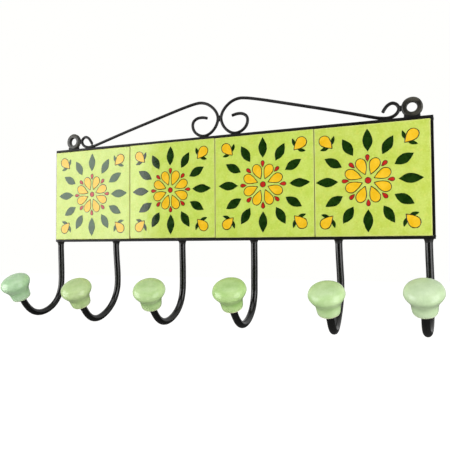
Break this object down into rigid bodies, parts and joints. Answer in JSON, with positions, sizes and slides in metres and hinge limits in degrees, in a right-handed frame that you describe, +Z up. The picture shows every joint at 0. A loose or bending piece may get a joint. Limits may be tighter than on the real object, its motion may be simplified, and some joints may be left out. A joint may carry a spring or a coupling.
{
  "type": "tile coat hook rack",
  "caption": "Wall-mounted coat rack: an iron frame of square glazed tiles with a wire scroll crest, hanging eyelets and bent rod hooks ending in ceramic knobs.",
  "frame": {"origin": "centre of the framed panel on the wall plane, which is the back face of the frame and backing board", "axes": "+X to the right of someone facing the rack, +Y into the wall, +Z up"},
  "size_m": [0.422, 0.0895, 0.2248],
  "materials": {
    "frame_iron": "satin black paint over flat iron bar",
    "scroll_wire": "satin black paint over round wire",
    "eyelet_iron": "worn satin black paint",
    "hook_iron": "satin black paint over round rod, soft sheen",
    "back_board": "thin fibreboard, painted black, matt",
    "tile_glaze": "glossy lime-green glaze with painted flower and leaf ornament in yellow, red and dark green",
    "tile_adhesive": "matt cement tile adhesive",
    "knob_glaze": "glossy translucent mint-green crackle glaze over cream body",
    "knob_cement": "matt cream cement"
  },
  "bodies": {
    "root": {"top_rail": "frame_iron", "bottom_rail": "frame_iron", "left_stile": "frame_iron", "right_stile": "frame_iron", "back_board": "back_board", "tile_1": "tile_glaze", "tile_2": "tile_glaze", "tile_3": "tile_glaze", "tile_4": "tile_glaze", "tile_adhesive_1": "tile_adhesive", "tile_adhesive_2": "tile_adhesive", "tile_adhesive_3": "tile_adhesive", "tile_adhesive_4": "tile_adhesive", "scroll_left": "scroll_wire", "scroll_right": "scroll_wire", "eyelet_left": "eyelet_iron", "eyelet_right": "eyelet_iron", "hook_rod_1": "hook_iron", "hook_rod_2": "hook_iron", "hook_rod_3": "hook_iron", "hook_rod_4": "hook_iron", "hook_rod_5": "hook_iron", "hook_rod_6": "hook_iron", "hook_weld_1": "hook_iron", "hook_weld_2": "hook_iron", "hook_weld_3": "hook_iron", "hook_weld_4": "hook_iron", "hook_weld_5": "hook_iron", "hook_weld_6": "hook_iron", "knob_1": "knob_glaze", "knob_2": "knob_glaze", "knob_3": "knob_glaze", "knob_4": "knob_glaze", "knob_5": "knob_glaze", "knob_6": "knob_glaze", "knob_cement_1": "knob_cement", "knob_cement_2": "knob_cement", "knob_cement_3": "knob_cement", "knob_cement_4": "knob_cement", "knob_cement_5": "knob_cement", "knob_cement_6": "knob_cement"}
  },
  "joints": []
}
